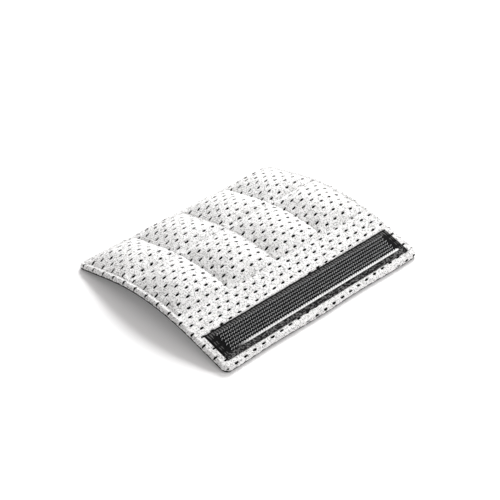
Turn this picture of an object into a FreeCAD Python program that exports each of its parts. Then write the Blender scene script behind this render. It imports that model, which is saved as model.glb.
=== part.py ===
# Quilted wrap-round pad for a chair armrest, sewn from a white spacer mesh over a dark lining.
# Eight soft pillows stand in two rows. A flat flap along the front edge carries a strip of hook
# tape on its outer face, and the back edge carries the matching loop tape on its inner face.
# The feature that takes the most skill is the quilted cover: crowned cells over a bent sheet.
# The pad is laid out flat as it is cut, by its distance "along" from the front edge and its
# height "off" the underside, and then bent over the gentle arch that the sewn pad takes.
# Millimetres. X runs along the hook tape, Y from the flap to the back edge, Z up, and the pad
# rests on its two long edges at Z = 0.
import FreeCAD, Part
import math
import os

from FreeCAD import Vector

# Cut size of the pad, measured flat
pad_length = 124.0
flap_width = 34.5
front_row_width = 35.0
back_row_width = 35.5
corner_radius = 5.0

# The arch: flat along both taped edges, and round between them
edge_slope = math.radians(14.3)
tape_to_arch = 1.0

# Fabrics
lining_thickness = 0.8
mesh_thickness = 1.6
rim_rounding = 1.0

# Pillows
pillows_per_row = 4
pillow_height = 3.8
edge_margin = 2.6
pillow_end_roll = 9.0
seam_width = 0.8
hollow_inset = 1.3
wadding_clearance = 0.2
wadding_seat_clearance = 0.1

# Folds between the panels, which open upwards as a V
fold_gap = 0.3
fold_relief = math.radians(17.0)

# Hook tape on the flap
tape_width = 16.0
hook_tape_length = 115.0
hook_tape_margin = 4.2
tape_base_thickness = 0.6
tape_corner_radius = 1.0
hook_rows = 7
hook_row_pitch = 1.6
hook_row_thickness = 0.45
hook_pitch = 1.45
hook_height = 1.3
hook_foot_height = 0.2
hook_lean = 1.0
hook_bare_end = 4.0

# Loop tape under the back edge
loop_tape_length = 115.0
loop_tape_margin = 7.0
loop_pile_height = 0.9
loop_pile_border = 1.0

# Sizes that follow from those above
pad_width = flap_width + front_row_width + back_row_width
flap_fold = flap_width
row_fold = flap_width + front_row_width
middle = pad_width / 2
taped_edge_width = loop_tape_margin + tape_width + tape_to_arch
arch_half_width = middle - taped_edge_width
arch_radius = arch_half_width / edge_slope
arch_rise = arch_radius * (1 - math.cos(edge_slope)) + taped_edge_width * math.sin(edge_slope)
arch_centre_z = arch_rise - arch_radius
seam_thickness = lining_thickness + mesh_thickness
above_everything = seam_thickness + 4 * pillow_height
pillow_length = (pad_length - 2 * edge_margin) / pillows_per_row

os.makedirs("parts", exist_ok=True)


def heading(along):
    """How far the pad has turned at a place along it, and how far it has run straight since."""
    past = along - middle
    turn = max(-edge_slope, min(edge_slope, past / arch_radius))
    return turn, past - turn * arch_radius


def bend(along, off, x=0.0):
    """The point of the bent pad that lies this far along from the front edge and off the underside."""
    turn, straight = heading(along)
    y = (arch_radius + off) * math.sin(turn) + straight * math.cos(turn)
    z = arch_centre_z + (arch_radius + off) * math.cos(turn) - straight * math.sin(turn)
    return Vector(x, y, z)


def unbend(point):
    """How far along the pad a point lies, and how far off the underside."""
    turn = math.atan2(point.y, point.z - arch_centre_z)
    turn = max(-edge_slope, min(edge_slope, turn))
    rise = point.z - arch_centre_z
    straight = point.y * math.cos(turn) - rise * math.sin(turn)
    off = point.y * math.sin(turn) + rise * math.cos(turn) - arch_radius
    return middle + turn * arch_radius + straight, off


def stretches(start, end):
    """The stretches of the pad between two places along it, and whether each is round."""
    stops = [start]
    for change in (middle - arch_half_width, middle + arch_half_width):
        if start < change < end:
            stops.append(change)
    stops.append(end)
    for a, b in zip(stops, stops[1:]):
        yield a, b, abs((a + b) / 2 - middle) < arch_half_width


def bent_line(start, end, off, x):
    """Edges from start to end at one height off the underside."""
    edges = []
    for a, b, is_round in stretches(start, end):
        if is_round:
            half = bend((a + b) / 2, off, x)
            edges.append(Part.Arc(bend(a, off, x), half, bend(b, off, x)).toShape())
        else:
            edges.append(Part.makeLine(bend(a, off, x), bend(b, off, x)))
    return edges


def swept(section, start, end):
    """Sweeps a section, drawn at the top of the arch, along the pad from start to end."""
    arch_axis = (Vector(0, 0, arch_centre_z), Vector(1, 0, 0))
    solid = None
    for a, b, is_round in stretches(start, end):
        turn, straight = heading(a)
        face = section.copy()
        face.rotate(*arch_axis, -math.degrees(turn))
        face.translate(Vector(0, straight * math.cos(turn), -straight * math.sin(turn)))
        if is_round:
            piece = face.revolve(*arch_axis, -math.degrees((b - a) / arch_radius))
        else:
            piece = face.extrude(bend(b, 0.0) - bend(a, 0.0))
        solid = solid.fuse(piece) if solid else piece
    return solid


def bent_layer(start, end, bottom, top, length, start_relief=0.0, end_relief=0.0):
    """A layer of the bent pad, centred on X = 0, whose ends may lean back to open a fold."""
    x = -length / 2
    low = (start + bottom * math.tan(start_relief), end - bottom * math.tan(end_relief))
    high = (start + top * math.tan(start_relief), end - top * math.tan(end_relief))
    edges = bent_line(low[0], low[1], bottom, x) + bent_line(high[0], high[1], top, x)
    edges.append(Part.makeLine(bend(low[0], bottom, x), bend(high[0], top, x)))
    edges.append(Part.makeLine(bend(low[1], bottom, x), bend(high[1], top, x)))
    outline = Part.Wire(Part.__sortEdges__(edges))
    return Part.Face(outline).extrude(Vector(length, 0, 0))


def place(edge):
    """The middle of an edge: its X, how far along the pad it lies, and how far off the underside."""
    point = edge.valueAt((edge.FirstParameter + edge.LastParameter) / 2)
    along, off = unbend(point)
    return point.x, along, off


def round_corners(sheet):
    """Rounds those corners of the pad's cut outline that a sheet reaches."""
    corners = []
    for edge in sheet.Edges:
        x, along, off = place(edge)
        at_end = min(along, pad_width - along) < 0.01
        if at_end and abs(x) > pad_length / 2 - 0.01:
            corners.append(edge)
    return sheet.makeFillet(corner_radius, corners) if corners else sheet


def round_rim(sheet, top):
    """Rounds the upper edge round the outside of the pad."""
    rim = []
    for edge in sheet.Edges:
        x, along, off = place(edge)
        at_side = abs(x) > pad_length / 2 - corner_radius
        at_end = min(along, pad_width - along) < corner_radius
        if abs(off - top) < 0.01 and (at_side or at_end):
            rim.append(edge)
    return sheet.makeFillet(rim_rounding, rim)


def save(node, shape):
    """Writes one named piece."""
    shape.exportStep("parts/" + node + ".step")


# Each panel runs between folds, and leans back from them
class Panel:
    def __init__(self, start, end, start_folds, end_folds):
        self.start = start + (fold_gap / 2 if start_folds else 0.0)
        self.end = end - (fold_gap / 2 if end_folds else 0.0)
        self.start_relief = fold_relief if start_folds else 0.0
        self.end_relief = fold_relief if end_folds else 0.0

    def layer(self, bottom, top):
        return bent_layer(
            self.start, self.end, bottom, top, pad_length, self.start_relief, self.end_relief
        )

    def lining(self):
        return round_corners(self.layer(0.0, lining_thickness))

    def flat_cover(self):
        sheet = round_corners(self.layer(lining_thickness, seam_thickness))
        return round_rim(sheet, seam_thickness)


flap = Panel(0.0, flap_fold, False, True)
front_row = Panel(flap_fold, row_fold, True, True)
back_row = Panel(row_fold, pad_width, True, False)


def crown_across(x0, x1, floor, border, crest):
    """A section across one pillow: a round top, from its border at both seams to its crest."""
    left, right = Vector(x0, 0, arch_rise + border), Vector(x1, 0, arch_rise + border)
    low_left, low_right = Vector(x0, 0, arch_rise + floor), Vector(x1, 0, arch_rise + floor)
    top = Part.Arc(left, Vector((x0 + x1) / 2, 0, arch_rise + crest), right).toShape()
    sides_and_floor = Part.makePolygon([right, low_right, low_left, left])
    return Part.Face(Part.Wire([top] + sides_and_floor.Edges))


def crown_along(start, end, border, crest):
    """A block as long as the pad, whose top rolls up from both ends to its crest."""
    x = -pad_length / 2
    rise = crest - border
    roll_radius = (pillow_end_roll ** 2 + rise ** 2) / (2 * rise)
    half_turn = math.asin(pillow_end_roll / roll_radius) / 2
    reach = pillow_end_roll - roll_radius * math.sin(half_turn)
    height = crest - roll_radius * (1 - math.cos(half_turn))
    top_start, top_end = start + pillow_end_roll, end - pillow_end_roll
    up = (bend(start, border, x), bend(start + reach, height, x), bend(top_start, crest, x))
    down = (bend(top_end, crest, x), bend(end - reach, height, x), bend(end, border, x))
    edges = [Part.Arc(*up).toShape(), Part.Arc(*down).toShape()]
    edges += bent_line(top_start, top_end, crest, x)
    edges += bent_line(start, end, -lining_thickness, x)
    edges.append(Part.makeLine(bend(start, -lining_thickness, x), bend(start, border, x)))
    edges.append(Part.makeLine(bend(end, -lining_thickness, x), bend(end, border, x)))
    outline = Part.Wire(Part.__sortEdges__(edges))
    return Part.Face(outline).extrude(Vector(pad_length, 0, 0))


def crowned(x0, x1, start, end, floor, border, crest):
    """One pillow form: round across and rolled down at its ends."""
    across = swept(crown_across(x0, x1, floor, border, crest), start, end)
    return across.common(crown_along(start, end, border, crest))


def pillow_row(panel, start, end):
    """The mesh cover of one row of pillows, and the wadding inside each of them."""
    crest = seam_thickness + pillow_height
    hollow_crest = crest - mesh_thickness
    cover = panel.flat_cover()
    hollows = []
    wadding = []
    for k in range(pillows_per_row):
        x0 = -pad_length / 2 + edge_margin + k * pillow_length + seam_width / 2
        x1 = x0 + pillow_length - seam_width
        floor = lining_thickness + mesh_thickness / 2
        cover = cover.fuse(crowned(x0, x1, start, end, floor, seam_thickness, crest))
        cell = (x0 + hollow_inset, x1 - hollow_inset, start + hollow_inset, end - hollow_inset)
        hollows.append(crowned(*cell, 0.0, lining_thickness, hollow_crest))
        floor = lining_thickness + wadding_seat_clearance
        border = lining_thickness - wadding_clearance
        block = crowned(*cell, 0.0, border, hollow_crest - wadding_clearance)
        wadding.append(block.common(panel.layer(floor, above_everything)))
    for hollow in hollows:
        cover = cover.cut(hollow)
    return cover.removeSplitter(), wadding


# Lining: one dark knitted sheet under each panel
save("lining_flap", flap.lining())
save("lining_front_row", front_row.lining())
save("lining_back_row", back_row.lining())

# Mesh cover: flat on the flap, and crowned over every pillow of the two rows
save("mesh_cover_flap", flap.flat_cover())
fold_land = fold_gap / 2 + seam_thickness * math.tan(fold_relief) + seam_width / 2
front_cover, front_wadding = pillow_row(front_row, flap_fold + fold_land, row_fold - fold_land)
back_cover, back_wadding = pillow_row(back_row, row_fold + fold_land, pad_width - edge_margin)
save("mesh_cover_front_row", front_cover)
save("mesh_cover_back_row", back_cover)

# Wadding: one soft filling inside each pillow
for number, filling in enumerate(front_wadding, 1):
    save("wadding_front_" + str(number), filling)
for number, filling in enumerate(back_wadding, 1):
    save("wadding_back_" + str(number), filling)


def tape_strip(length, start, end, bottom, top, radius):
    """A flat strip, with round corners if it has a radius, laid on one of the flat taped edges."""
    slope = -edge_slope if start < middle else edge_slope
    width = end - start
    strip = Part.makeBox(length, width, top - bottom)
    corners = [e for e in strip.Edges if abs(e.tangentAt(e.FirstParameter).z) > 0.99]
    if radius:
        strip = strip.makeFillet(radius, corners)
    strip.translate(Vector(-length / 2, 0, 0))
    strip.rotate(Vector(0, 0, 0), Vector(1, 0, 0), -math.degrees(slope))
    strip.translate(bend(start, bottom))
    return strip


def hook_row(start, bottom, count):
    """One row of hooks as a comb: every hook leans along the tape to its nose, over a low foot."""
    x = -count * hook_pitch / 2
    points = [Vector(x, 0, 0), Vector(x, 0, hook_foot_height)]
    for _ in range(count):
        points.append(Vector(x + hook_lean, 0, hook_height))
        x += hook_pitch
        points.append(Vector(x, 0, hook_foot_height))
    points.append(Vector(x, 0, 0))
    points.append(points[0])
    comb = Part.Face(Part.makePolygon(points)).extrude(Vector(0, hook_row_thickness, 0))
    comb.rotate(Vector(0, 0, 0), Vector(1, 0, 0), math.degrees(edge_slope))
    comb.translate(bend(start, bottom))
    return comb


# Hook tape: a flat woven base on the flap, and rows of hooks that stand on it
hook_tape_end = hook_tape_margin + tape_width
hook_base_top = seam_thickness + tape_base_thickness
hook_base = tape_strip(
    hook_tape_length,
    hook_tape_margin,
    hook_tape_end,
    seam_thickness,
    hook_base_top,
    tape_corner_radius,
)
save("hook_tape_base", hook_base)
hook_field_width = (hook_rows - 1) * hook_row_pitch + hook_row_thickness
first_row = hook_tape_margin + (tape_width - hook_field_width) / 2
hooks_per_row = int((hook_tape_length - 2 * hook_bare_end) / hook_pitch)
for number in range(hook_rows):
    staggered = number % 2
    row_start = first_row + number * hook_row_pitch
    row = hook_row(row_start, hook_base_top, hooks_per_row - staggered)
    save("hook_row_" + str(number + 1), row)

# Loop tape: a woven base sewn under the back edge, with a brushed pile below it
loop_end = pad_width - loop_tape_margin
loop_start = loop_end - tape_width
pile_top = -tape_base_thickness
loop_base = tape_strip(
    loop_tape_length, loop_start, loop_end, pile_top, 0.0, tape_corner_radius
)
loop_pile = tape_strip(
    loop_tape_length - 2 * loop_pile_border,
    loop_start + loop_pile_border,
    loop_end - loop_pile_border,
    pile_top - loop_pile_height,
    pile_top,
    0.0,
)
save("loop_tape_base", loop_base)
save("loop_tape_pile", loop_pile)
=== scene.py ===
import math

import bpy
import numpy as np
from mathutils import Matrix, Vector


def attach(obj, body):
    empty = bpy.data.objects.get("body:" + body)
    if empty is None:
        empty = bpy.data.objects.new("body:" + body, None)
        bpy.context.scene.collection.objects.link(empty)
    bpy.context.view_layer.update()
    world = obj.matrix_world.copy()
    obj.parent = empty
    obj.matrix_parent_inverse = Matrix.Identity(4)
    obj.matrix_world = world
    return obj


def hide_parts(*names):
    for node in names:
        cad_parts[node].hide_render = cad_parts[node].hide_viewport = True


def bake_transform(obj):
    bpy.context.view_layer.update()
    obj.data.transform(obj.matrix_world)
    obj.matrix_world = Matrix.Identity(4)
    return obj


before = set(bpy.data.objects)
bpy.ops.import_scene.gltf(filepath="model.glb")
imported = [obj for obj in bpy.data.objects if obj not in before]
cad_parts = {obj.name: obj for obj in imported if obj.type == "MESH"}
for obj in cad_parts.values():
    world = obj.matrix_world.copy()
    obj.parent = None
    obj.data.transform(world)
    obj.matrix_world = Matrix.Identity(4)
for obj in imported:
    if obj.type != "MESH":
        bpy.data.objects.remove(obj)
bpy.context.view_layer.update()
MM = 0.001


# Lining: two panels of thin black warp knit, which meet under the middle seam. They are cut with
# the mesh cover, caught in the seam round its edge, and drawn in where the quilting thread passes.
pad_length = 124 * MM
flap_width = 34.5 * MM
front_row_width = 35 * MM
back_row_width = 35.5 * MM
corner_radius = 5 * MM
left_corner_radius = 3.4 * MM
front_wave_height = 0.28 * MM
front_wave_length = 8.5 * MM
edge_wave_reach = 2.5 * MM
edge_slope = math.radians(14.3)
taped_edge_width = 24 * MM
lining_thickness = 0.8 * MM
quilt_pull = 0.25 * MM
quilt_pull_width = 1.3 * MM
edge_margin = 2.6 * MM
pillows_per_row = 4
lining_columns = 125
loop_tape_middle = 90 * MM
loop_seat_half_width = 9 * MM
loop_seat_half_length = 58.5 * MM

row_fold = flap_width + front_row_width
pad_width = row_fold + back_row_width
middle = pad_width / 2
arch_radius = (middle - taped_edge_width) / edge_slope
arch_rise = arch_radius * (1 - math.cos(edge_slope)) + taped_edge_width * math.sin(edge_slope)
arch_centre_z = arch_rise - arch_radius
pillow_length = (pad_length - 2 * edge_margin) / pillows_per_row
pillow_end = pad_width - edge_margin
cross_seams = [flap_width, row_fold, pillow_end]
column_seams = [(k - pillows_per_row / 2) * pillow_length for k in range(pillows_per_row + 1)]


def bent(flat):
    """Bends points of the pad laid flat (x, along, off the underside) over the arch it takes."""
    past = flat[..., 1] - middle
    turn = np.clip(past / arch_radius, -edge_slope, edge_slope)
    straight = past - turn * arch_radius
    radius = arch_radius + flat[..., 2]
    y = radius * np.sin(turn) + straight * np.cos(turn)
    z = arch_centre_z + radius * np.cos(turn) - straight * np.sin(turn)
    return np.stack([flat[..., 0], y, z], axis=-1)


def round_the_corners(flat):
    """Squeezes the ends of the pad's outer rows sideways, so that its cut corners are round."""
    radius = np.where(flat[..., 0] < 0, left_corner_radius, corner_radius)
    from_end = np.minimum(flat[..., 1], pad_width - flat[..., 1])
    into_corner = np.clip(radius - from_end, 0, radius)
    inset = radius - np.sqrt(radius ** 2 - into_corner ** 2)
    reach = 1.6 * corner_radius
    share = np.clip((np.abs(flat[..., 0]) - pad_length / 2 + reach) / reach, 0, 1)
    flat[..., 0] -= np.sign(flat[..., 0]) * share * inset


def from_outline(flat):
    """How far inside the pad's cut outline each point lies."""
    radius = np.where(flat[..., 0] < 0, left_corner_radius, corner_radius)
    across = np.abs(flat[..., 0]) - pad_length / 2 + radius
    down = np.abs(flat[..., 1] - middle) - middle + radius
    outside = np.hypot(np.maximum(across, 0), np.maximum(down, 0))
    return radius - outside - np.minimum(np.maximum(across, down), 0)


def waver_the_front(flat, inside):
    """Draws the front edge in by a slow wave, as the tape's sewing has drawn up the flap."""
    toward_edge = np.clip(1 - inside / edge_wave_reach, 0, 1)
    wave = front_wave_height * (1 - np.cos(flat[..., 0] / front_wave_length + 0.6))
    flat[..., 1] += toward_edge * wave * (flat[..., 1] < middle)


def near_seams(flat, width, half_length):
    """A mask that is 1 on the quilting seams and fades beside them over about a width."""
    quilted = np.clip((flat[..., 1] - flap_width) / width + 1, 0, 1)
    mask = np.zeros(flat.shape[:-1])
    for x in column_seams:
        mask = np.maximum(mask, quilted * np.exp(-(((flat[..., 0] - x) / width) ** 2)))
    inside = np.clip((half_length - np.abs(flat[..., 0])) / width, 0, 1)
    for along in cross_seams:
        mask = np.maximum(mask, inside * np.exp(-(((flat[..., 1] - along) / width) ** 2)))
    return mask


def wobble(t, seed):
    """A smooth uneven wave between about -1 and 1, t in millimetres."""
    return (
        0.5 * np.sin(0.31 * t + seed)
        + 0.3 * np.sin(0.83 * t + 2.1 * seed)
        + 0.2 * np.sin(1.97 * t + 3.7 * seed)
    )


def keep_laid_flat(mesh, flat):
    """Stores where each point lies on the pad laid flat, in millimetres, for the materials."""
    layout = mesh.attributes.new("laid_flat", "FLOAT_VECTOR", "POINT")
    layout.data.foreach_set("vector", (flat / MM).astype(np.float32).ravel())


def sewn_shell(name, face, other_off):
    """A closed piece from a grid of points on its shown face and one height for its plain face."""
    rows, columns = face.shape[:2]
    index = np.arange(rows * columns).reshape(rows, columns)
    rim = [index[0, :], index[1:, -1], index[-1, -2::-1], index[-2:0:-1, 0]]
    rim = np.concatenate(rim)
    under = face.reshape(-1, 3)[rim].copy()
    under[:, 2] = other_off
    flat = np.concatenate([face.reshape(-1, 3), under])

    quads = [index[:-1, :-1], index[:-1, 1:], index[1:, 1:], index[1:, :-1]]
    quads = np.stack(quads, axis=-1).reshape(-1, 4)
    low = rows * columns + np.arange(len(rim))
    walls = np.stack([np.roll(rim, -1), rim, low, np.roll(low, -1)], axis=-1)
    left = [int(low[-j]) for j in range(rows)]
    left[0] = int(low[0])
    right = [int(low[columns - 1 + j]) for j in range(rows)]
    strips = [(left[j], left[j + 1], right[j + 1], right[j]) for j in range(1, rows - 2)]
    front = [int(k) for k in low[:columns]] + [right[1], left[1]]
    back_edge = [int(k) for k in low[columns + rows - 2: 2 * columns + rows - 2]]
    back = [left[-2], right[-2]] + back_edge
    faces = [tuple(f) for f in quads.tolist() + walls.tolist()]
    faces += strips + [tuple(front[::-1]), tuple(back[::-1])]
    if other_off > face[..., 2].min():
        faces = [f[::-1] for f in faces]

    mesh = bpy.data.meshes.new(name)
    mesh.from_pydata(bent(flat).tolist(), [], faces)
    mesh.shade_smooth()
    keep_laid_flat(mesh, flat)
    piece = bpy.data.objects.new(name, mesh)
    bpy.context.scene.collection.objects.link(piece)
    return piece


def grid_of(x_stops, along_stops, off):
    """Points at every crossing of two sets of places, all at one height off the underside."""
    x, along = np.meshgrid(x_stops, along_stops)
    return np.stack([x, along, np.full_like(x, off)], axis=-1)


def feed(tree, socket, value):
    """Links another node's output to a socket, or sets the socket to a value."""
    if isinstance(value, bpy.types.NodeSocket):
        tree.links.new(value, socket)
    else:
        socket.default_value = value


def put(tree, kind, inputs, **options):
    """Adds a node, sets its options, and links or sets its inputs. Returns the node."""
    node = tree.nodes.new("ShaderNode" + kind)
    for option, value in options.items():
        setattr(node, option, value)
    for socket, value in inputs.items():
        feed(tree, node.inputs[socket], value)
    return node


def calc(tree, operation, *values):
    """A Math node's result."""
    return put(tree, "Math", dict(enumerate(values)), operation=operation).outputs[0]


def calc_vector(tree, operation, *values):
    """A Vector Math node's result."""
    node = put(tree, "VectorMath", dict(enumerate(values)), operation=operation)
    return node.outputs["Value" if operation in ("LENGTH", "DOT_PRODUCT") else "Vector"]


def ramp(tree, value, low, high, to_low=0.0, to_high=1.0):
    """Takes a value from one range to another, clamped and eased at both ends."""
    inputs = {0: value, 1: low, 2: high, 3: to_low, 4: to_high}
    return put(tree, "MapRange", inputs, interpolation_type="SMOOTHSTEP").outputs[0]


def blend_colours(tree, share, first, second, blend_type="MIX"):
    """A Mix node's colour."""
    node = put(tree, "Mix", {}, data_type="RGBA", blend_type=blend_type)
    for socket, value in ((0, share), (6, first), (7, second)):
        feed(tree, node.inputs[socket], value)
    return node.outputs[2]


def new_finish(name, **constants):
    """A material with its Principled shader and the constants set on the shader's own sockets."""
    material = bpy.data.materials.new(name)
    material.use_nodes = True
    shader = material.node_tree.nodes["Principled BSDF"]
    for socket, value in constants.items():
        shader.inputs[socket.replace("_", " ")].default_value = value
    return material, material.node_tree, shader


def laid_flat(tree):
    """Where a point lies on the pad laid flat, in millimetres."""
    return put(tree, "Attribute", {}, attribute_name="laid_flat").outputs["Vector"]


def grey(value, tint=(1.0, 1.0, 1.0)):
    """A colour of one brightness with a slight tint."""
    return (value * tint[0], value * tint[1], value * tint[2], 1.0)


def new_group(name, inputs, outputs):
    """A node group with named number or vector inputs and number outputs."""
    group = bpy.data.node_groups.new(name, "ShaderNodeTree")
    for socket, kind, value in inputs:
        made = group.interface.new_socket(socket, in_out="INPUT", socket_type="NodeSocket" + kind)
        if kind == "Float":
            made.default_value = value
    for socket in outputs:
        group.interface.new_socket(socket, in_out="OUTPUT", socket_type="NodeSocketFloat")
    return group, group.nodes.new("NodeGroupInput").outputs, group.nodes.new("NodeGroupOutput")


def use_group(tree, group, inputs):
    """Places a node group in a tree and returns its outputs."""
    return put(tree, "Group", inputs, node_tree=group).outputs


# The stitch loops of a knit, in columns that lean left and right by turns: used by both fabrics
knit, knit_in, knit_out = new_group(
    "knit loops",
    [("Place", "Vector", None), ("Column", "Float", 1.0), ("Course", "Float", 0.7)],
    ["Height", "Shade"],
)
place = put(knit, "SeparateXYZ", {0: knit_in["Place"]})
column_turn = calc(knit, "MULTIPLY", calc(knit, "DIVIDE", place.outputs[0], knit_in["Column"]), math.tau)
course_turn = calc(knit, "MULTIPLY", calc(knit, "DIVIDE", place.outputs[1], knit_in["Course"]), math.tau)
column_wave = calc(knit, "SINE", column_turn)
lean_wave = calc(knit, "SINE", calc(knit, "MULTIPLY", column_turn, 0.5))
leaning = calc(knit, "MULTIPLY_ADD", lean_wave, 2.2, course_turn)
loops = calc(knit, "SINE", leaning)
uneven = put(knit, "TexNoise", {"Vector": knit_in["Place"], "Scale": 1.3, "Detail": 3.0}).outputs[0]
relief = calc(knit, "MULTIPLY_ADD", column_wave, 0.25, calc(knit, "MULTIPLY_ADD", loops, 0.3, 0.3))
relief = calc(knit, "ADD", relief, calc(knit, "MULTIPLY", uneven, 0.35))
knit.links.new(relief, knit_out.inputs["Height"])
knit.links.new(ramp(knit, relief, 0.05, 0.75), knit_out.inputs["Shade"])

lining_finish, tree, shader = new_finish("black lining knit", Sheen_Weight=0.04, Sheen_Roughness=0.5)
shader.inputs["Specular IOR Level"].default_value = 0.15
loops = use_group(tree, knit, {"Place": laid_flat(tree), "Column": 0.62, "Course": 0.45})
lining_colour = blend_colours(tree, loops["Shade"], grey(0.006), grey(0.028, (1.0, 0.99, 1.02)))
tree.links.new(lining_colour, shader.inputs["Base Color"])
tree.links.new(ramp(tree, loops["Shade"], 0, 1, 0.9, 0.6), shader.inputs["Roughness"])
dents = put(tree, "Bump", {"Height": loops["Height"], "Distance": 0.12 * MM, "Strength": 0.8})
tree.links.new(dents.outputs[0], shader.inputs["Normal"])

lining_inset = 0.22 * MM
half_lining = pad_length / 2 - lining_inset


def lining_panel(name, start, end):
    """One panel of lining, whose shown face is the underside, drawn up along the quilting."""
    x_stops = np.linspace(-half_lining, half_lining, lining_columns)
    first, last = max(start, lining_inset), min(end, pad_width - lining_inset)
    along_stops = np.linspace(first, last, round((end - start) / MM) + 1)
    face = grid_of(x_stops, along_stops, 0.0)
    round_the_corners(face)
    waver_the_front(face, np.clip(from_outline(face), 0, None))
    pull = quilt_pull * near_seams(face, quilt_pull_width, pad_length / 2 - edge_margin)
    under_tape = np.abs(face[..., 1] - loop_tape_middle) < loop_seat_half_width
    under_tape &= np.abs(face[..., 0]) < loop_seat_half_length
    face[..., 2] += np.where(under_tape, 0, pull)
    panel = sewn_shell(name, face, lining_thickness)
    panel.data.materials.append(lining_finish)
    return panel


lining_front = lining_panel("lining_front", 0.0, row_fold)
lining_back = lining_panel("lining_back", row_fold, pad_width)
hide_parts("lining_flap", "lining_front_row")
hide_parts("lining_back_row")
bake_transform(lining_front)
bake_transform(lining_back)


# Air mesh cover: a thick white knit with a lattice of oval holes, quilted into two rows of four
# pillows that soft wadding fills, flat on the flap, and turned down over the lining at its edge.
mesh_thickness = 1.6 * MM
pillow_height = 3.8 * MM
pillow_end_roll = 9 * MM
seam_thickness = lining_thickness + mesh_thickness
cells_per_pillow = 24
margin_cells = 2
flap_cells = 28
front_cells = 28
back_cells = 26
finer = 4
sewing_scale = 10
most_shift = 1.2 * MM
hole_spacing_x = 5.69 * MM
hole_spacing_along = 7.66 * MM
hole_phase_x = -35.3 * MM
hole_phase_along = 31.48 * MM
course_skew = 0.062
hole_half_length = 1.0 * MM
hole_half_width = 0.47 * MM
hole_depth = 0.5 * MM
edge_roll = 0.65 * MM
edge_drop = 0.65 * MM
edge_press = 0.55 * MM
edge_press_width = 2.4 * MM
seam_groove = 0.32 * MM
seam_groove_width = 0.6 * MM
crown_at_start = 0.7
cloth_frames = 20
surface_roll = 0.12 * MM
side_ridge_height = 0.4 * MM
side_ridge_place = 1.2 * MM
side_ridge_width = 0.8 * MM
tape_half_length = 57.5 * MM
tape_start = 4.2 * MM
tape_end = 20.2 * MM
tape_seat_depth = 0.15 * MM
tape_bank_height = 0.3 * MM
tape_bank_place = 1.0 * MM
tape_bank_width = 0.7 * MM
edge_wave_height = 0.22 * MM
end_pull_in = 0.15 * MM
long_edge_pull_in = 0.1 * MM
end_wave_start = 50 * MM
hole_rim = 1.25
hole_slope = 0.5
hole_from_edge = 1.3 * MM
hole_from_tape = 0.4 * MM
least_cover = 0.1 * MM
cover_gap = 0.05 * MM

cells_x = pillows_per_row * cells_per_pillow + 2 * margin_cells
cells_along = flap_cells + front_cells + back_cells + margin_cells
half_pad = pad_length / 2
x_stops = np.interp(
    np.arange(cells_x + 1),
    [0, margin_cells, cells_x - margin_cells, cells_x],
    [-half_pad, edge_margin - half_pad, half_pad - edge_margin, half_pad],
)
row_starts = np.cumsum([0, flap_cells, front_cells, back_cells, margin_cells])
along_stops = np.interp(
    np.arange(cells_along + 1), row_starts, [0, flap_width, row_fold, pillow_end, pad_width]
)


def pillow_crown(x, along):
    """A pillow's height as a share of the full one: round across, rolled down at both ends."""
    in_cell = ((x - column_seams[0]) / pillow_length) % 1.0
    across = 1 - (2 * in_cell - 1) ** 2
    start = np.where(along < row_fold, flap_width, row_fold)
    end = np.where(along < row_fold, row_fold, pillow_end)
    from_end = np.clip(np.minimum(along - start, end - along) / pillow_end_roll, 0, 1)
    roll = 1 - (1 - from_end) ** 2
    quilted = (np.abs(x) < -column_seams[0]) & (along > flap_width) & (along < pillow_end)
    return np.where(quilted, across ** 0.85 * roll, 0)


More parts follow.
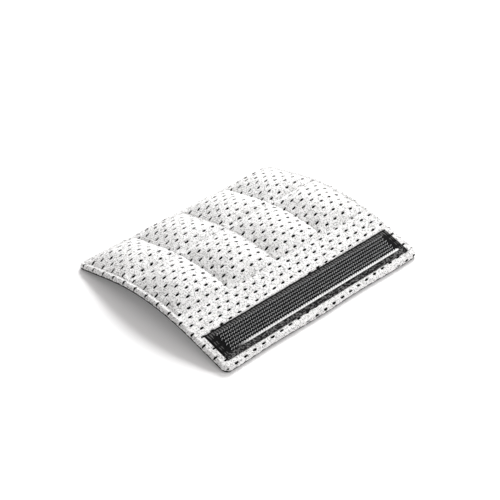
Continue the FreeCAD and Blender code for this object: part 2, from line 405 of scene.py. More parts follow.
def puffed_sheet():
    """The quilted mesh laid flat: a grid pinned at its seams and blown up by the wadding."""
    bpy.ops.object.select_all(action="DESELECT")
    bpy.ops.mesh.primitive_grid_add(x_subdivisions=cells_x, y_subdivisions=cells_along, size=1)
    sheet = bpy.context.object
    for vertex in sheet.data.vertices:
        x = x_stops[round((vertex.co.x + 0.5) * cells_x)]
        along = along_stops[round((vertex.co.y + 0.5) * cells_along)]
        height = pillow_height * float(pillow_crown(x, along))
        vertex.co = (x * sewing_scale, along * sewing_scale, height * crown_at_start * sewing_scale)
    sewn = sheet.vertex_groups.new(name="sewn")
    flat_points = []
    for vertex in sheet.data.vertices:
        if vertex.co.z < 1e-6:
            flat_points.append(vertex.index)
    sewn.add(flat_points, 1.0, "REPLACE")
    cloth = sheet.modifiers.new("wadding pressure", "CLOTH")
    cloth.settings.quality = 5
    cloth.settings.mass = 0.3
    cloth.settings.tension_stiffness = 40
    cloth.settings.compression_stiffness = 40
    cloth.settings.shear_stiffness = 15
    cloth.settings.bending_stiffness = 8
    cloth.settings.use_pressure = True
    cloth.settings.uniform_pressure_force = 4
    cloth.settings.shrink_min = -0.012
    cloth.settings.vertex_group_mass = "sewn"
    cloth.settings.effector_weights.gravity = 0
    cloth.point_cache.frame_start = 1
    cloth.point_cache.frame_end = cloth_frames
    for step in range(1, cloth_frames + 1):
        bpy.context.scene.frame_set(step)
    bpy.ops.object.modifier_apply(modifier=cloth.name)
    bpy.context.scene.frame_set(1)
    smooth = sheet.modifiers.new("finer", "SUBSURF")
    smooth.levels = smooth.render_levels = int(math.log2(finer))
    smooth.uv_smooth = "NONE"
    bpy.ops.object.modifier_apply(modifier=smooth.name)

    mesh = sheet.data
    corner_point = np.zeros(len(mesh.loops), np.int32)
    mesh.loops.foreach_get("vertex_index", corner_point)
    corner_uv = np.zeros(len(mesh.loops) * 2, np.float32)
    mesh.uv_layers[0].uv.foreach_get("vector", corner_uv)
    corner_uv = corner_uv.reshape(-1, 2)
    points = np.zeros(len(mesh.vertices) * 3, np.float32)
    mesh.vertices.foreach_get("co", points)
    points = points.reshape(-1, 3).astype(float) / sewing_scale
    column = np.rint(corner_uv[:, 0] * cells_x * finer).astype(int)
    row = np.rint(corner_uv[:, 1] * cells_along * finer).astype(int)
    flat = np.zeros((cells_along * finer + 1, cells_x * finer + 1, 3))
    flat[row, column] = points[corner_point]
    bpy.data.objects.remove(sheet)
    return flat


flat = puffed_sheet()
laid_x = np.interp(np.arange(flat.shape[1]) / finer, np.arange(cells_x + 1), x_stops)
laid_along = np.interp(np.arange(flat.shape[0]) / finer, np.arange(cells_along + 1), along_stops)
laid = grid_of(laid_x, laid_along, 0.0)
flat[..., :2] = laid[..., :2] + np.clip(flat[..., :2] - laid[..., :2], -most_shift, most_shift)
flat[..., 2] = np.clip(flat[..., 2], 0, None)
flat[..., 2] *= pillow_height / np.percentile(flat[..., 2], 99.7)
flat[..., 2] += seam_thickness

seams = near_seams(flat, seam_groove_width, half_pad - edge_margin)
flat[..., 2] -= seam_groove * seams
rolling = surface_roll * wobble(flat[..., 0] / MM, 1.3) * wobble(flat[..., 1] / MM * 1.4, 0.7)
flat[..., 2] += rolling * (1 - seams)
inside = from_outline(flat)
side_ridge = np.exp(-(((inside - side_ridge_place) / side_ridge_width) ** 2))
bumps = 1 + 0.7 * wobble(4.3 * flat[..., 1] / MM, 0.4) * wobble(3.1 * flat[..., 0] / MM, 2.2)
flat[..., 2] += side_ridge_height * side_ridge * bumps
past_tape = np.maximum(
    np.abs(flat[..., 0]) - tape_half_length,
    np.maximum(tape_start - flat[..., 1], flat[..., 1] - tape_end),
)
tape_bank = np.exp(-(((past_tape - tape_bank_place) / tape_bank_width) ** 2))
flat[..., 2] += tape_bank_height * tape_bank
flat[..., 2] -= np.where(past_tape < 0, tape_seat_depth, 0)
round_the_corners(flat)
inside = np.clip(from_outline(flat), 0, None)
rolled = np.clip(1 - inside / edge_roll, 0, 1)
flat[..., 2] -= edge_drop * (1 - np.sqrt(1 - rolled ** 2))
flat[..., 2] -= edge_press * np.clip(1 - inside / edge_press_width, 0, 1)
edge_wave = edge_wave_height * wobble(3.6 * (flat[..., 0] - flat[..., 1]) / MM, 1.9)
toward_edge = np.clip(1 - inside / edge_wave_reach, 0, 1)
near_end = np.abs(flat[..., 0]) > end_wave_start
flat[..., 0] -= np.sign(flat[..., 0]) * toward_edge * (end_pull_in + edge_wave) * near_end
flat[..., 1] -= np.sign(flat[..., 1] - middle) * toward_edge * (long_edge_pull_in + edge_wave)
waver_the_front(flat, inside)


def hole_lattice(flat):
    """How far each point lies from the middle of the nearest hole, where 1 is the hole's rim."""
    x = (flat[..., 0] - hole_phase_x) / hole_spacing_x
    along = flat[..., 1] - course_skew * flat[..., 0] - hole_phase_along
    along = along / hole_spacing_along
    nearest = np.full(x.shape, 9.0)
    for shift in (0.0, 0.5):
        from_x = ((x + shift + 0.5) % 1.0 - 0.5) * hole_spacing_x / hole_half_length
        from_along = ((along + shift + 0.5) % 1.0 - 0.5) * hole_spacing_along / hole_half_width
        nearest = np.minimum(nearest, np.hypot(from_x, from_along))
    return nearest


sunk = np.clip((hole_rim - hole_lattice(flat)) / hole_slope, 0, 1)
sunk = sunk * sunk * (3 - 2 * sunk)
sunk *= np.clip(inside / hole_from_edge, 0, 1)
sunk *= np.clip(past_tape / hole_from_tape, 0, 1)
slope_x, slope_along = np.gradient(flat, axis=1), np.gradient(flat, axis=0)
upright = np.cross(slope_x, slope_along)
upright /= np.linalg.norm(upright, axis=-1, keepdims=True)
flat -= upright * (hole_depth * sunk)[..., None]
flat[..., 2] = np.maximum(flat[..., 2], lining_thickness + least_cover)

cover_finish, tree, shader = new_finish("white air mesh")
shader.inputs["Specular IOR Level"].default_value = 0.08
place = laid_flat(tree)
split = put(tree, "SeparateXYZ", {0: place})
level_course = calc(tree, "MULTIPLY_ADD", split.outputs[0], -course_skew, split.outputs[1])
squared = put(tree, "CombineXYZ", {0: split.outputs[0], 1: level_course, 2: 0.0}).outputs[0]
wander = put(tree, "TexNoise", {"Vector": place, "Scale": 1.1, "Detail": 2.0}).outputs["Color"]
wander = calc_vector(tree, "SUBTRACT", wander, (0.5, 0.5, 0.5))
squared = calc_vector(tree, "MULTIPLY_ADD", wander, (0.55, 0.4, 0.0), squared)
phase = (hole_phase_x / MM, hole_phase_along / MM, 0)
spacing = (hole_spacing_x / MM, hole_spacing_along / MM, 1)
oval = (hole_spacing_x / hole_half_length, hole_spacing_along / hole_half_width, 0)
in_lattice = calc_vector(tree, "DIVIDE", calc_vector(tree, "SUBTRACT", squared, phase), spacing)
distances = []
for shift in (0.5, 1.0):
    shifted = calc_vector(tree, "ADD", in_lattice, (shift, shift, 0))
    centred = calc_vector(tree, "SUBTRACT", calc_vector(tree, "FRACTION", shifted), (0.5, 0.5, 0))
    distances.append(calc_vector(tree, "LENGTH", calc_vector(tree, "MULTIPLY", centred, oval)))
from_hole = calc(tree, "MINIMUM", *distances)
above_rim = ramp(tree, split.outputs[2], 1.25, 1.6)
open_hole = calc(tree, "MULTIPLY", ramp(tree, from_hole, 1.02, 1.2, 1.0, 0.0), above_rim)
hole_lip = ramp(tree, from_hole, 1.1, 1.5, 1.0, 0.0)
loops = use_group(tree, knit, {"Place": place, "Column": 0.948, "Course": 0.64})
grain_inputs = {"Vector": place, "Scale": 1.4, "Detail": 2.0, "Roughness": 0.9}
grain = put(tree, "TexNoise", grain_inputs).outputs[0]
low_loops = ramp(tree, loops["Shade"], 0.2, 0.7, 1.0, 0.55)
speckle = calc(tree, "MULTIPLY", ramp(tree, grain, 0.51, 0.59), low_loops)
broad = put(tree, "TexNoise", {"Vector": place, "Scale": 0.09, "Detail": 2.0}).outputs[0]
dull_white = grey(0.89, (1.0, 0.998, 0.99))
clean_white = grey(0.93, (1.0, 1.0, 0.997))
white = blend_colours(tree, ramp(tree, broad, 0.35, 0.65), dull_white, clean_white)
knitted = blend_colours(tree, calc(tree, "MULTIPLY", speckle, 0.95), white, grey(0.1, (1.0, 0.99, 1.0)))
# Painted shade: a grey ring darkens the knit round each hole, where the rim slopes down into the pit.
shaded_rims = blend_colours(tree, calc(tree, "MULTIPLY", hole_lip, 0.3), knitted, grey(0.3))
holed = blend_colours(tree, open_hole, shaded_rims, grey(0.001))
tree.links.new(holed, shader.inputs["Base Color"])
tree.links.new(ramp(tree, loops["Shade"], 0, 1, 0.95, 0.78), shader.inputs["Roughness"])
height = calc(tree, "MULTIPLY_ADD", hole_lip, -0.5, loops["Height"])
height = calc(tree, "MULTIPLY_ADD", grain, 0.8, height)
relief = put(tree, "Bump", {"Height": height, "Distance": 0.22 * MM, "Strength": 0.85})
tree.links.new(relief.outputs[0], shader.inputs["Normal"])

seam_row = (flap_cells + front_cells) * finer
cover_underside = lining_thickness + cover_gap
mesh_cover_front = sewn_shell("mesh_cover_front", flat[: seam_row + 1], cover_underside)
mesh_cover_back = sewn_shell("mesh_cover_back", flat[seam_row:], cover_underside)
for cover in (mesh_cover_front, mesh_cover_back):
    cover.data.materials.append(cover_finish)
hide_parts("mesh_cover_flap", "mesh_cover_front_row")
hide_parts("mesh_cover_back_row")
for number in range(1, pillows_per_row + 1):
    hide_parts("wadding_front_" + str(number))
    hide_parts("wadding_back_" + str(number))
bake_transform(mesh_cover_front)
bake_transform(mesh_cover_back)


# Quilting thread: white lockstitches sunk in every seam of the cover, and their black undersides
# on the lining. One stitch is a short cord whose two ends dip into the fabric.
stitch_pitch = 3.06 * MM
stitch_length = 2.35 * MM
stitch_radius = 0.2 * MM
stitch_sag = 0.22 * MM
stitch_cuts = (-0.36, -0.12, 0.12, 0.36)
stitch_end_taper = 0.45
stitch_tilt = 0.1
stitch_stand = 0.1 * MM
stitch_from_split = 0.35 * MM
bobbin_lift = 0.05 * MM
covered_start = 81.5 * MM
covered_end = 98.5 * MM
covered_half_length = 58 * MM

bpy.ops.object.select_all(action="DESELECT")
bpy.ops.mesh.primitive_cylinder_add(vertices=6, radius=stitch_radius, depth=stitch_length)
stitch = bpy.context.object
bpy.ops.object.mode_set(mode="EDIT")
for cut in stitch_cuts:
    bpy.ops.mesh.select_all(action="SELECT")
    bpy.ops.mesh.bisect(plane_co=(0, 0, cut * stitch_length), plane_no=(0, 0, 1))
bpy.ops.object.mode_set(mode="OBJECT")
stitch_points = []
for vertex in stitch.data.vertices:
    t = 2 * vertex.co.z / stitch_length
    waist = 1 - stitch_end_taper * t ** 4
    up = vertex.co.y * waist - stitch_sag * t * t
    stitch_points.append((t * stitch_length / 2, vertex.co.x * waist, up))
stitch_points = np.array(stitch_points)
stitch_faces = [tuple(p.vertices) for p in stitch.data.polygons]
bpy.data.objects.remove(stitch)


def stitches(name, seats, finish, upside_down=False):
    """A run of stitches in one piece. A seat is x, along, off and whether it runs along the pad."""
    points, laid, faces = [], [], []
    for number, (x, along, off, lengthways) in enumerate(seats):
        shape = stitch_points.copy()
        if upside_down:
            shape[:, 1:] *= -1
        tilt = stitch_tilt * wobble(np.array(7.3 * number), 0.9)
        shape[:, 1] += shape[:, 0] * tilt
        if lengthways:
            shape = shape[:, [1, 0, 2]] * (-1, 1, 1)
        faces += [tuple(len(points) * len(shape) + k for k in face) for face in stitch_faces]
        points.append(shape + (x, along, off))
    flat_points = np.concatenate(points)
    mesh = bpy.data.meshes.new(name)
    mesh.from_pydata(bent(flat_points).tolist(), [], faces)
    mesh.shade_smooth()
    keep_laid_flat(mesh, flat_points)
    mesh.materials.append(finish)
    piece = bpy.data.objects.new(name, mesh)
    bpy.context.scene.collection.objects.link(piece)
    return piece


def evenly(start, end):
    """Places for stitches from start to end, about a pitch apart."""
    count = round((end - start) / stitch_pitch)
    return [start + (k + 0.5) * (end - start) / count for k in range(count)]


def thread_finish(name, dark, light, rough):
    """Two plies twisted together."""
    material, tree, shader = new_finish(name, Roughness=rough, Sheen_Weight=0.2)
    plies = put(tree, "TexWave", {"Vector": laid_flat(tree), "Scale": 1.1}, bands_direction="DIAGONAL")
    colour = blend_colours(tree, plies.outputs[1], grey(dark), grey(light))
    tree.links.new(colour, shader.inputs["Base Color"])
    twist = put(tree, "Bump", {"Height": plies.outputs[1], "Distance": 0.06 * MM})
    tree.links.new(twist.outputs[0], shader.inputs["Normal"])
    return material


white_thread = thread_finish("white thread", 0.72, 0.88, 0.6)
black_thread = thread_finish("black thread", 0.008, 0.03, 0.45)

seam_top = seam_thickness - seam_groove + stitch_stand
front_seats, back_seats = [], []
for along in cross_seams:
    for x in evenly(column_seams[0], column_seams[-1]):
        (back_seats if along > row_fold else front_seats).append((x, along, seam_top, False))
for x in column_seams:
    for along in evenly(flap_width, row_fold):
        front_seats.append((x, along, seam_top, True))
    for along in evenly(row_fold, pillow_end):
        back_seats.append((x, along, seam_top, True))
last_front = row_fold - stitch_from_split
front_seats = [(x, min(along, last_front), off, way) for x, along, off, way in front_seats]
quilting_front = stitches("quilting_front", front_seats, white_thread)
quilting_back = stitches("quilting_back", back_seats, white_thread)
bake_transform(quilting_front)
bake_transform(quilting_back)

under_off = quilt_pull + bobbin_lift
front_under = [(x, along, under_off, way) for x, along, off, way in front_seats]
back_under = []
for x, along, off, way in back_seats:
    if not (covered_start < along < covered_end and abs(x) < covered_half_length):
        back_under.append((x, along, under_off, way))
bobbin_front = stitches("bobbin_front", front_under, black_thread, upside_down=True)
bobbin_back = stitches("bobbin_back", back_under, black_thread, upside_down=True)
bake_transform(bobbin_front)
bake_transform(bobbin_back)


# Hook tape base: a flat narrow-woven black band, sewn to the flap all round. Its two selvedges
# stand a little higher than the ground between them, which carries the hooks.
tape_length = 115 * MM
tape_width = 16 * MM
tape_thickness = 0.6 * MM
selvedge_width = 2.6 * MM
hook_pitch = 1.45 * MM
selvedge_lift = 0.1 * MM
selvedge_slope = 0.5 * MM
sewing_inset = 1.2 * MM
sewing_width = 0.5 * MM
sewing_depth = 0.28 * MM
end_sewing_inset = 1.7 * MM
end_sewing_width = 0.6 * MM
end_sewing_depth = 0.22 * MM
tape_edge_round = 0.35 * MM
tape_edge_drop = 0.25 * MM
tape_wander = 0.1 * MM
tape_foot = 0.35 * MM
tape_end_rows = (1.1 * MM, 2.3 * MM)
tape_end_gap = 2 * MM
side_stitch_sink = 0.05 * MM
end_stitch_sink = 0.02 * MM
tape_columns = 231
tape_rows = 65

tape_x = np.linspace(-tape_length / 2, tape_length / 2, tape_columns)
tape_along = np.linspace(tape_start, tape_start + tape_width, tape_rows)
face = grid_of(tape_x, tape_along, seam_thickness + tape_thickness)
across = face[..., 1] - tape_start
from_end = tape_length / 2 - np.abs(face[..., 0])
from_side = np.minimum(across, tape_width - across)
selvedge = np.clip((selvedge_width - from_side) / selvedge_slope, 0, 1)
face[..., 2] += selvedge_lift * selvedge
pits = 0.5 + 0.5 * np.cos(2 * math.pi * face[..., 0] / stitch_pitch)
sewing_line = np.exp(-(((from_side - sewing_inset) / sewing_width) ** 2))
face[..., 2] -= sewing_depth * sewing_line * (0.35 + 0.65 * pits)
end_line = np.exp(-(((from_end - end_sewing_inset) / end_sewing_width) ** 2))
face[..., 2] -= end_sewing_depth * end_line
rounding = np.clip(1 - np.minimum(from_side, from_end) / tape_edge_round, 0, 1)
face[..., 2] -= tape_edge_drop * rounding ** 2
face[..., 1] += tape_wander * wobble(face[..., 0] / MM, 2.9) * (1 - from_side / (tape_width / 2))
hook_tape_weave = sewn_shell("hook_tape_weave", face, seam_thickness - tape_foot)

# The ribs and wefts of a narrow-woven tape: used by the hook tape and the loop tape
weave, weave_in, weave_out = new_group(
    "tape weave",
    [("Place", "Vector", None), ("Rib", "Float", 0.7), ("Weft", "Float", 0.5)],
    ["Height", "Shade"],
)
place = put(weave, "SeparateXYZ", {0: weave_in["Place"]})
warp_turn = calc(weave, "MULTIPLY", calc(weave, "DIVIDE", place.outputs[1], weave_in["Rib"]), math.tau)
weft_turn = calc(weave, "MULTIPLY", calc(weave, "DIVIDE", place.outputs[0], weave_in["Weft"]), math.tau)
crossing = calc(weave, "MULTIPLY", calc(weave, "SINE", warp_turn), calc(weave, "SINE", weft_turn))
fuzz = put(weave, "TexNoise", {"Vector": weave_in["Place"], "Scale": 2.6, "Detail": 3.0}).outputs[0]
relief = calc(weave, "MULTIPLY_ADD", crossing, 0.4, calc(weave, "MULTIPLY_ADD", fuzz, 0.5, 0.25))
weave.links.new(relief, weave_out.inputs["Height"])
weave.links.new(ramp(weave, relief, 0.2, 0.85), weave_out.inputs["Shade"])


def tape_finish(name, dark, light, rough):
    """Black woven tape: flecks in front, a painted highlight line at the first hooks' feet, ribs behind.
    """
    material, tree, shader = new_finish(name)
    shader.inputs["Specular IOR Level"].default_value = 0.04
    woven = use_group(tree, weave, {"Place": laid_flat(tree), "Rib": 0.8, "Weft": 0.72})
    colour = blend_colours(tree, woven["Shade"], dark, light)
    split = put(tree, "SeparateXYZ", {0: laid_flat(tree)})
    x, along = split.outputs[0], split.outputs[1]
    fleck = put(tree, "TexNoise", {"Vector": laid_flat(tree), "Scale": 1.2, "Detail": 2.0}).outputs[0]
    before_hooks = ramp(tree, along, 6.2, 7.2, 1.0, 0.0)
    fleck = calc(tree, "MULTIPLY", ramp(tree, fleck, 0.5, 0.6), before_hooks)
    colour = blend_colours(tree, fleck, colour, grey(0.16))
    # Painted highlight: a near-white band along the feet of the first hook row stands in for the lamp's
    # glint there, fading out at both ends.
    painted_highlight_line = calc(tree, "MULTIPLY", ramp(tree, along, 6.7, 6.85), ramp(tree, along, 7.7, 7.9, 1.0, 0.0))
    painted_highlight_line = calc(tree, "MULTIPLY", painted_highlight_line, ramp(tree, x, -50, -40))
    painted_highlight_line = calc(tree, "MULTIPLY", painted_highlight_line, ramp(tree, x, 53, 54.5, 1.0, 0.0))
    colour = blend_colours(tree, painted_highlight_line, colour, grey(0.9))
    rib_turn = calc(tree, "MULTIPLY_ADD", x, math.tau / (hook_pitch / MM), 1.2)
    ribs = ramp(tree, calc(tree, "SINE", rib_turn), -0.2, 0.5)
    ribs = calc(tree, "MULTIPLY", ribs, ramp(tree, along, 17.2, 17.9))
    ribs = calc(tree, "MULTIPLY", ribs, ramp(tree, along, 19.0, 19.6, 1.0, 0.0))
    colour = blend_colours(tree, ribs, colour, grey(0.12))
    tree.links.new(colour, shader.inputs["Base Color"])
    tree.links.new(ramp(tree, woven["Shade"], 0, 1, rough + 0.2, rough), shader.inputs["Roughness"])
    relief = put(tree, "Bump", {"Height": woven["Height"], "Distance": 0.15 * MM, "Strength": 0.9})
    tree.links.new(relief.outputs[0], shader.inputs["Normal"])
    return material


base_finish = tape_finish("woven tape", grey(0.002), grey(0.012, (0.98, 1.0, 1.06)), 0.75)
hook_tape_weave.data.materials.append(base_finish)
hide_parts("hook_tape_base")
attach(hook_tape_weave, "flap")

tape_top = seam_thickness + tape_thickness
tape_seats = []
first_line = tape_start + sewing_inset
last_line = tape_start + tape_width - sewing_inset
for x in evenly(tape_end_gap - tape_length / 2, tape_length / 2 - tape_end_gap):
    tape_seats.append((x, first_line, tape_top - side_stitch_sink, False))
    tape_seats.append((x, last_line, tape_top - side_stitch_sink, False))
for x in tape_end_rows:
    for along in evenly(first_line, last_line):
        tape_seats.append((tape_length / 2 - x, along, tape_top - end_stitch_sink, True))
        tape_seats.append((x - tape_length / 2, along, tape_top - end_stitch_sink, True))
tape_stitches = stitches("tape_stitches", tape_seats, black_thread)
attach(tape_stitches, "flap")


# Hooks: stiff nylon monofilament woven into the tape and cut, in seven rows. Each hook rises from
# its foot, leans along the tape, and turns its nose down. One is modelled, and the rows copy it.
hook_rows = 7
hook_row_pitch = 1.6 * MM
hook_first_row = 7.4 * MM
hooks_in_row = 73
filament_radius = 0.2 * MM
hook_row_shift = 0.15 * MM
hook_foot_sink = 0.1 * MM
hook_line = [(0.0, 0.0), (0.0, 0.5), (0.02, 1.0), (0.08, 1.22), (0.2, 1.28), (0.3, 1.18), (0.33, 0.96)]
hook_tapers = [1.0, 1.0, 0.96, 0.92, 0.88, 0.8, 0.45]

hook_finish, tree, shader = new_finish("nylon hooks on dark feet")
shader.inputs["Specular IOR Level"].default_value = 0.8
place = laid_flat(tree)
split = put(tree, "SeparateXYZ", {0: place})
tint = put(tree, "TexNoise", {"Vector": place, "Scale": 0.9, "Detail": 2.0}).outputs[0]
rise = ramp(tree, split.outputs[2], 2.95, 3.15)
# Painted light and shade: the shanks, which the key lamp leaves in shade, are coloured pale, and the
# tops, which it lights, are coloured darker grey.
duller_nylon = grey(0.7, (0.97, 1.0, 1.05))
lighter_nylon = grey(0.95, (0.95, 0.98, 1.0))
nylon = blend_colours(tree, ramp(tree, tint, 0.3, 0.7), duller_nylon, lighter_nylon)
nylon = blend_colours(tree, ramp(tree, split.outputs[2], 3.7, 4.1), nylon, grey(0.4))
# Painted highlight: the first row of hooks is coloured near white from x = -40 mm on, standing in for
# the lamp's glint along the front row.
first_row = ramp(tree, split.outputs[1], 7.9, 8.2, 1.0, 0.0)
painted_highlight_row = calc(tree, "MULTIPLY", first_row, ramp(tree, split.outputs[0], -50, -40))
nylon = blend_colours(tree, painted_highlight_row, nylon, grey(0.95))
colour = blend_colours(tree, rise, grey(0.004), nylon)
tree.links.new(colour, shader.inputs["Base Color"])
dulled = ramp(tree, split.outputs[1], 8.1, 9.6, 0.1, 0.42)
tree.links.new(dulled, shader.inputs["Roughness"])


def nylon_hook():
    """One hook at the origin, extruded along its line from a six-sided foot."""
    bpy.ops.object.select_all(action="DESELECT")
    bpy.ops.mesh.primitive_circle_add(vertices=6, radius=filament_radius, fill_type="NGON")
    hook = bpy.context.object
    bpy.ops.object.mode_set(mode="EDIT")
    bpy.ops.mesh.select_all(action="SELECT")
    lean = 0.0
    for k in range(1, len(hook_line)):
        (x0, z0), (x1, z1) = hook_line[k - 1], hook_line[k]
        bpy.ops.mesh.extrude_region_move(
            TRANSFORM_OT_translate={"value": ((x1 - x0) * MM, 0, (z1 - z0) * MM)}
        )
        ahead = hook_line[min(k + 1, len(hook_line) - 1)]
        turned = math.atan2(ahead[0] - x0, ahead[1] - z0)
        centre = (x1 * MM, 0, z1 * MM)
        bpy.ops.transform.rotate(value=lean - turned, orient_axis="Y", center_override=centre)
        taper = hook_tapers[k] / hook_tapers[k - 1]
        bpy.ops.transform.resize(value=(taper, taper, taper), center_override=centre)
        lean = turned
    bpy.ops.object.mode_set(mode="OBJECT")
    return hook


hook = nylon_hook()
for number in range(hook_rows):
    staggered = number % 2
    bpy.ops.object.select_all(action="DESELECT")
    row = hook.copy()
    row.data = hook.data.copy()
    row.name = row.data.name = "hooks_" + str(number + 1)
    bpy.context.scene.collection.objects.link(row)
    bpy.context.view_layer.objects.active = row
    row.select_set(True)
    along_row = row.modifiers.new("along the row", "ARRAY")
    along_row.use_relative_offset = False
    along_row.use_constant_offset = True
    along_row.constant_offset_displace = (hook_pitch, 0, 0)
    along_row.count = hooks_in_row - staggered
    bpy.ops.object.modifier_apply(modifier=along_row.name)
    first_x = -(hooks_in_row - staggered) * hook_pitch / 2
    along = hook_first_row + number * hook_row_pitch
    points = np.array([v.co for v in row.data.vertices])
    placed = points + (first_x + hook_row_shift, 0, 0)
    foot = tape_top - hook_foot_sink
    laid = np.stack([placed[:, 0], along + placed[:, 1], foot + placed[:, 2]], -1)
    row.data.vertices.foreach_set("co", bent(laid).astype(np.float32).ravel())
    keep_laid_flat(row.data, laid)
    row.data.shade_smooth()
    row.data.materials.clear()
    row.data.materials.append(hook_finish)
    row.data.update()
    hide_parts("hook_row_" + str(number + 1))
    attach(row, "flap")
bpy.data.objects.remove(hook)


# Loop tape: the same narrow weave sewn under the back edge, with a brushed nylon pile that the
# hooks catch in. The pile is a low felted bed with nine hundred of its loops standing out.
loop_tape_start = 82 * MM
loop_tape_end = 98 * MM
loop_tape_columns = 116
loop_tape_rows = 33
loop_edge_round = 0.4 * MM
loop_edge_rise = 0.2 * MM
loop_sewing_inset = 0.6 * MM
loop_sewing_width = 0.3 * MM
loop_sewing_depth = 0.15 * MM
pile_start = 83 * MM
pile_end = 97 * MM
pile_half_length = 56.5 * MM
pile_height = 0.9 * MM
pile_columns = 227
pile_rows = 29
pile_edge_width = 0.6 * MM
pile_root = 0.05 * MM
loops_standing = 900
loops_start = 83.4 * MM
loops_end = 96.6 * MM
loops_half_length = 56 * MM
loop_centre_drop = 0.45 * MM
loop_radius = 0.42 * MM
fibre_radius = 0.06 * MM

loop_x = np.linspace(-tape_length / 2, tape_length / 2, loop_tape_columns)
loop_along = np.linspace(loop_tape_start, loop_tape_end, loop_tape_rows)
face = grid_of(loop_x, loop_along, -tape_thickness)
from_side = np.minimum(face[..., 1] - loop_tape_start, loop_tape_end - face[..., 1])
face[..., 2] += loop_edge_rise * np.clip(1 - from_side / loop_edge_round, 0, 1) ** 2
loop_sewing = np.exp(-(((from_side - loop_sewing_inset) / loop_sewing_width) ** 2))
face[..., 2] += loop_sewing_depth * loop_sewing
loop_tape_weave = sewn_shell("loop_tape_weave", face, 0.0)
loop_tape_weave.data.materials.append(base_finish)
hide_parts("loop_tape_base")
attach(loop_tape_weave, "back_row")

pile_finish, tree, shader = new_finish(
    "brushed loop pile", Roughness=0.9, Sheen_Weight=0.6, Sheen_Roughness=0.4
)
fibres = put(tree, "TexNoise", {"Vector": laid_flat(tree), "Scale": 3.4, "Detail": 5.0}).outputs[0]
colour = blend_colours(tree, ramp(tree, fibres, 0.35, 0.65), grey(0.008), grey(0.045))
tree.links.new(colour, shader.inputs["Base Color"])
relief = put(tree, "Bump", {"Height": fibres, "Distance": 0.3 * MM, "Strength": 0.9})
tree.links.new(relief.outputs[0], shader.inputs["Normal"])
pile_x = np.linspace(-pile_half_length, pile_half_length, pile_columns)
pile_along = np.linspace(pile_start, pile_end, pile_rows)
face = grid_of(pile_x, pile_along, 0.0)
from_side = np.minimum(face[..., 1] - pile_start, pile_end - face[..., 1])
from_side = np.minimum(from_side, pile_half_length - np.abs(face[..., 0]))
felted = wobble(5.7 * face[..., 0] / MM + 3 * face[..., 1] / MM, 1.1)
felted = felted * wobble(6.3 * face[..., 1] / MM, 2.3)
bed = pile_height * (0.66 + 0.16 * felted) * np.clip(from_side / pile_edge_width + 0.35, 0, 1)
face[..., 2] = -tape_thickness - bed
loop_pile = sewn_shell("loop_pile", face, -tape_thickness + pile_root)
loop_pile.data.materials.append(pile_finish)
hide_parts("loop_tape_pile")
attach(loop_pile, "back_row")

bpy.ops.object.select_all(action="DESELECT")
bpy.ops.mesh.primitive_torus_add(
    major_segments=10, minor_segments=3, major_radius=loop_radius, minor_radius=fibre_radius
)
loop = bpy.context.object
loop_points = np.array([v.co for v in loop.data.vertices])[:, [0, 2, 1]]
loop_faces = [tuple(p.vertices)[::-1] for p in loop.data.polygons]
bpy.data.objects.remove(loop)
scatter = np.random.default_rng(7)
points, faces = [], []
for number in range(loops_standing):
    heading = scatter.uniform(0, math.pi)
    turned = loop_points.copy()
    turned[:, 0] = loop_points[:, 0] * math.cos(heading) - loop_points[:, 1] * math.sin(heading)
    turned[:, 1] = loop_points[:, 0] * math.sin(heading) + loop_points[:, 1] * math.cos(heading)
    seat = (
        scatter.uniform(-loops_half_length, loops_half_length),
        scatter.uniform(loops_start, loops_end),
        -tape_thickness - loop_centre_drop,
    )
    faces += [tuple(number * len(loop_points) + k for k in face) for face in loop_faces]
    points.append(turned + seat)
points = np.concatenate(points)
mesh = bpy.data.meshes.new("pile_loops")
mesh.from_pydata(bent(points).tolist(), [], faces)
mesh.shade_smooth()
keep_laid_flat(mesh, points)
mesh.materials.append(pile_finish)
pile_loops = bpy.data.objects.new("pile_loops", mesh)
bpy.context.scene.collection.objects.link(pile_loops)
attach(pile_loops, "back_row")


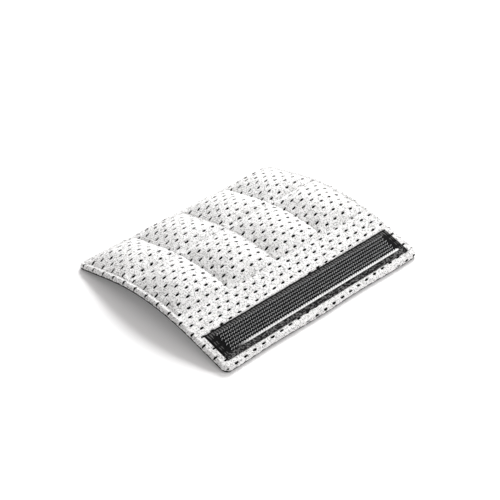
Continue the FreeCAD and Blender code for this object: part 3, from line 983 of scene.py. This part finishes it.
# Studio: a white table in a white room, a main lamp at the right and behind, a weaker lamp at
# the right and in front, and the camera of the picture.
table_size = 3.0
table_glow = 0.12
room_light = 0.5
room_seen = 1.0
bpy.ops.object.select_all(action="DESELECT")
bpy.ops.mesh.primitive_plane_add(size=table_size, location=(0, 0, -0.0001))
table = bpy.context.object
table.name = "table"
table_finish, tree, shader = new_finish("white table", Roughness=0.7)
shader.inputs["Base Color"].default_value = grey(0.9)
rays = put(tree, "LightPath", {})
seen = calc(tree, "MAXIMUM", rays.outputs["Is Camera Ray"], rays.outputs["Is Glossy Ray"])
seen = calc(tree, "MAXIMUM", seen, rays.outputs["Is Transmission Ray"])
lift = put(tree, "Emission", {"Color": grey(1.0), "Strength": calc(tree, "MULTIPLY", seen, table_glow)})
both = put(tree, "AddShader", {0: shader.outputs[0], 1: lift.outputs[0]})
tree.links.new(both.outputs[0], tree.nodes["Material Output"].inputs[0])
table.data.materials.append(table_finish)

world = bpy.data.worlds.new("white room")
bpy.context.scene.world = world
world.use_nodes = True
tree = world.node_tree
rays = put(tree, "LightPath", {})
seen = calc(tree, "MAXIMUM", rays.outputs["Is Camera Ray"], rays.outputs["Is Glossy Ray"])
seen = calc(tree, "MAXIMUM", seen, rays.outputs["Is Transmission Ray"])
room_strength = ramp(tree, seen, 0, 1, room_light, room_seen)
tree.links.new(room_strength, tree.nodes["Background"].inputs["Strength"])
tree.nodes["Background"].inputs["Color"].default_value = grey(1.0, (1.0, 0.975, 0.97))

target = Vector((1.99 * MM, 1.739 * MM, 5 * MM))


def lamp(name, direction, distance, size, power):
    """A square softbox that faces the pad."""
    light = bpy.data.lights.new(name, "AREA")
    light.size = size
    light.energy = power
    softbox = bpy.data.objects.new(name, light)
    softbox.location = target + Vector(direction).normalized() * distance
    softbox.rotation_euler = (target - softbox.location).to_track_quat("-Z", "Y").to_euler()
    bpy.context.scene.collection.objects.link(softbox)


lamp("key", (0.66, 0.42, 0.62), 0.9, 0.4, 10.0)
lamp("front", (0.5, -0.75, 0.3), 0.9, 0.3, 3.3)

camera_azimuth = math.radians(-43.158)
camera_elevation = math.radians(36.679)
camera_distance = 0.6668
camera = bpy.data.objects.new("camera", bpy.data.cameras.new("camera"))
camera.data.lens = 102.05
camera.data.sensor_width = 36
camera.data.clip_start = 0.01
camera.location = target + camera_distance * Vector(
    (
        math.sin(camera_azimuth) * math.cos(camera_elevation),
        -math.cos(camera_azimuth) * math.cos(camera_elevation),
        math.sin(camera_elevation),
    )
)
camera.rotation_euler = (target - camera.location).to_track_quat("-Z", "Y").to_euler()
bpy.context.scene.collection.objects.link(camera)
bpy.context.scene.camera = camera
bpy.context.scene.view_settings.view_transform = "Standard"
